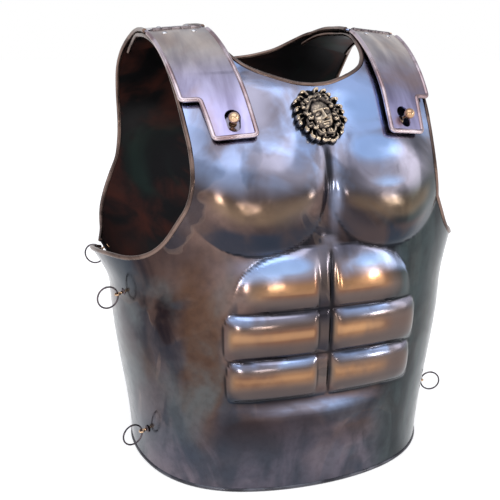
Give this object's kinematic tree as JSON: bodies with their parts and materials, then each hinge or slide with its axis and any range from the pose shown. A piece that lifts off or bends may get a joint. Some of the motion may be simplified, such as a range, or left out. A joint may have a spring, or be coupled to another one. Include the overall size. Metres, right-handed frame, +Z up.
{
  "type": "muscle cuirass",
  "caption": "Body armour in sculpted metal sheet: a breastplate and a backplate with hinged shoulder straps keyed on ball studs, a mask medallion and lacing rings at the sides.",
  "frame": {"origin": "on the resting plane of the hem, at the middle of the bounding box in X and Y", "axes": "+X towards the wearer's left, -Y to the front, +Z up from the hem to the shoulders"},
  "size_m": [0.4324, 0.3679, 0.4821],
  "materials": {
    "breastplate_copper": "copper-plated sheet steel with a dark antiqued patina, polished on the crests",
    "backplate_copper": "copper-plated sheet steel with a dark antiqued patina",
    "strap_copper": "copper-plated sheet steel, greyed patina, satin",
    "medallion_bronze": "cast, blackened in the hollows and rubbed bright on the crests",
    "brass": "turned and polished brass",
    "dark_steel": "dulled steel wire and sheet",
    "bright_steel": "bright steel rivets"
  },
  "bodies": {
    "torso": {"breastplate": "breastplate_copper", "backplate": "backplate_copper", "medallion": "medallion_bronze", "medallion_pin_lower": "brass", "medallion_pin_upper": "brass", "left_hinge_back_leaf": "dark_steel", "left_hinge_pin": "dark_steel", "left_back_rivet_inner": "bright_steel", "left_back_rivet_outer": "bright_steel", "left_ball_stud": "brass", "left_stud_washer": "brass", "right_hinge_back_leaf": "dark_steel", "right_hinge_pin": "dark_steel", "right_back_rivet_inner": "bright_steel", "right_back_rivet_outer": "bright_steel", "right_ball_stud": "brass", "right_stud_washer": "brass", "right_front_upper_eye": "brass", "right_front_upper_washer": "dark_steel", "right_front_lower_eye": "brass", "right_front_lower_washer": "dark_steel", "left_front_upper_eye": "brass", "left_front_upper_washer": "dark_steel", "left_front_lower_eye": "brass", "left_front_lower_washer": "dark_steel", "right_back_upper_eye": "brass", "right_back_upper_washer": "dark_steel", "right_back_lower_eye": "brass", "right_back_lower_washer": "dark_steel", "left_back_upper_eye": "brass", "left_back_upper_washer": "dark_steel", "left_back_lower_eye": "brass", "left_back_lower_washer": "dark_steel"},
    "left_strap": {"left_shoulder_strap": "strap_copper", "left_hinge_strap_leaf": "dark_steel", "left_strap_rivet_inner": "bright_steel", "left_strap_rivet_outer": "bright_steel"},
    "right_strap": {"right_shoulder_strap": "strap_copper", "right_hinge_strap_leaf": "dark_steel", "right_strap_rivet_inner": "bright_steel", "right_strap_rivet_outer": "bright_steel"},
    "right_front_upper_ring": {"right_front_upper_ring": "dark_steel"},
    "right_front_lower_ring": {"right_front_lower_ring": "dark_steel"},
    "left_front_upper_ring": {"left_front_upper_ring": "dark_steel"},
    "left_front_lower_ring": {"left_front_lower_ring": "dark_steel"},
    "right_back_upper_ring": {"right_back_upper_ring": "dark_steel"},
    "right_back_lower_ring": {"right_back_lower_ring": "dark_steel"},
    "left_back_upper_ring": {"left_back_upper_ring": "dark_steel"},
    "left_back_lower_ring": {"left_back_lower_ring": "dark_steel"}
  },
  "joints": [
    {"name": "left_strap_hinge", "type": "hinge", "parent": "torso", "child": "left_strap", "pos_m": [0.11515, -0.01784, 0.47434], "axis": [-0.9914, -0.102, 0.0824], "range_deg": [0, 130]},
    {"name": "right_strap_hinge", "type": "hinge", "parent": "torso", "child": "right_strap", "pos_m": [-0.11515, -0.01784, 0.47434], "axis": [-0.9914, 0.102, -0.0824], "range_deg": [0, 130]},
    {"name": "right_front_upper_ring_swing", "type": "hinge", "parent": "torso", "child": "right_front_upper_ring", "pos_m": [-0.19555, -0.06852, 0.2053], "axis": [-0.2732, -0.0761, 0.9589], "range_deg": [-75, 75]},
    {"name": "right_front_lower_ring_swing", "type": "hinge", "parent": "torso", "child": "right_front_lower_ring", "pos_m": [-0.17666, -0.07706, 0.0466], "axis": [-0.0559, -0.0181, 0.9983], "range_deg": [-75, 75]},
    {"name": "left_front_upper_ring_swing", "type": "hinge", "parent": "torso", "child": "left_front_upper_ring", "pos_m": [0.19555, -0.06852, 0.2053], "axis": [0.2732, -0.0761, 0.9589], "range_deg": [-149, 0]},
    {"name": "left_front_lower_ring_swing", "type": "hinge", "parent": "torso", "child": "left_front_lower_ring", "pos_m": [0.17748, -0.07715, 0.05519], "axis": [0.1167, -0.038, 0.9924], "range_deg": [-75, 75]},
    {"name": "right_back_upper_ring_swing", "type": "hinge", "parent": "torso", "child": "right_back_upper_ring", "pos_m": [-0.19327, 0.05752, 0.22182], "axis": [-0.4546, 0.2361, 0.8588], "range_deg": [-75, 75]},
    {"name": "right_back_lower_ring_swing", "type": "hinge", "parent": "torso", "child": "right_back_lower_ring", "pos_m": [-0.1655, 0.04548, 0.04959], "axis": [-0.082, 0.0539, 0.9952], "range_deg": [0, 149]},
    {"name": "left_back_upper_ring_swing", "type": "hinge", "parent": "torso", "child": "left_back_upper_ring", "pos_m": [0.19327, 0.05752, 0.22182], "axis": [0.4546, 0.2361, 0.8588], "range_deg": [-75, 75]},
    {"name": "left_back_lower_ring_swing", "type": "hinge", "parent": "torso", "child": "left_back_lower_ring", "pos_m": [0.1655, 0.04548, 0.04959], "axis": [0.082, 0.0539, 0.9952], "range_deg": [-149, 0]}
  ]
}
